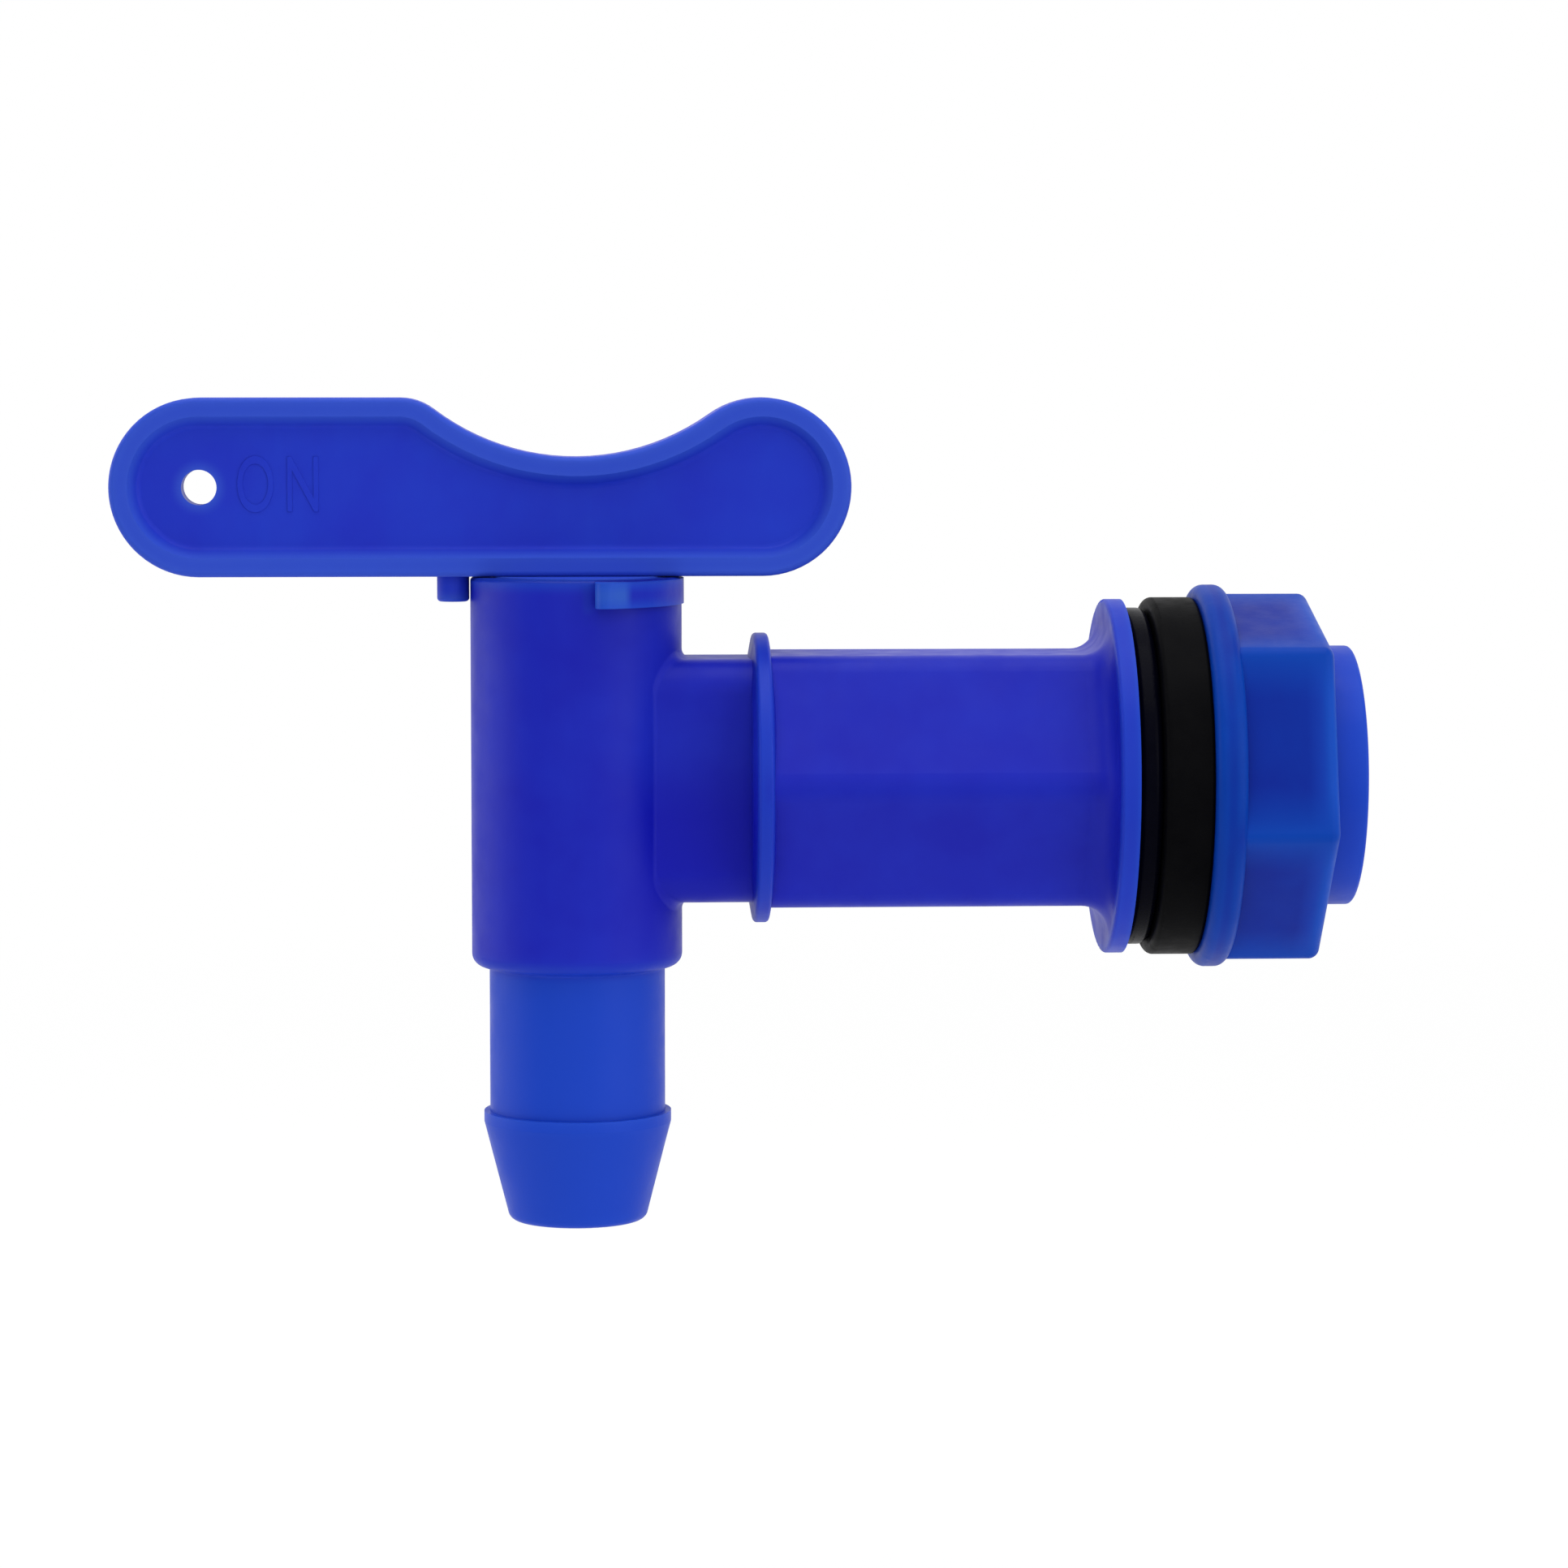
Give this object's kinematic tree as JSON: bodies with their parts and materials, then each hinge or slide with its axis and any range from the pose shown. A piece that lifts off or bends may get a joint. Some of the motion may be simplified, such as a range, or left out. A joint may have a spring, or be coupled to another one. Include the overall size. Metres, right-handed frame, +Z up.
{
  "type": "bottling spigot",
  "caption": "Quarter-turn plastic plug tap with a paddle handle, barbed hose spout, hexagonal inlet, rubber seals and a back nut for fixing through a container wall.",
  "frame": {"origin": "centre of the flange's sealing face, on the inlet axis", "axes": "+X along the inlet towards the inside of the container, +Z up the barrel to the handle, +Y to the back"},
  "size_m": [0.1134, 0.0352, 0.0756],
  "materials": {
    "body_plastic": "semi-gloss moulded royal blue plastic",
    "key_plastic": "semi-gloss moulded royal blue plastic",
    "nut_plastic": "semi-gloss moulded blue plastic, a little greener than the body",
    "washer_rubber": "smooth black rubber with a soft sheen",
    "seal_rubber": "satin black rubber",
    "o_ring_rubber": "black rubber"
  },
  "bodies": {
    "body": {"tap_body": "body_plastic", "flange_washer": "washer_rubber"},
    "key": {"tap_key": "key_plastic", "upper_o_ring": "o_ring_rubber", "lower_o_ring": "o_ring_rubber"},
    "seal": {"wall_seal": "seal_rubber"},
    "nut": {"back_nut": "nut_plastic"}
  },
  "joints": [
    {"name": "key_turn", "type": "hinge", "parent": "body", "child": "key", "pos_m": [-0.05, 0, 0], "axis": [0, 0, 1], "range_deg": [-90, 90]},
    {"name": "nut_travel", "type": "slide", "parent": "body", "child": "seal", "axis": [1, 0, 0], "range_m": [0, 0.01452]},
    {"name": "nut_turn", "type": "hinge", "parent": "seal", "child": "nut", "pos_m": [0, 0, 0], "axis": [1, 0, 0], "range_deg": [0, 2880]}
  ],
  "couplings": [
    {"joint": "nut_travel", "follows": "nut_turn", "m_per_rad": 0.00028875}
  ]
}
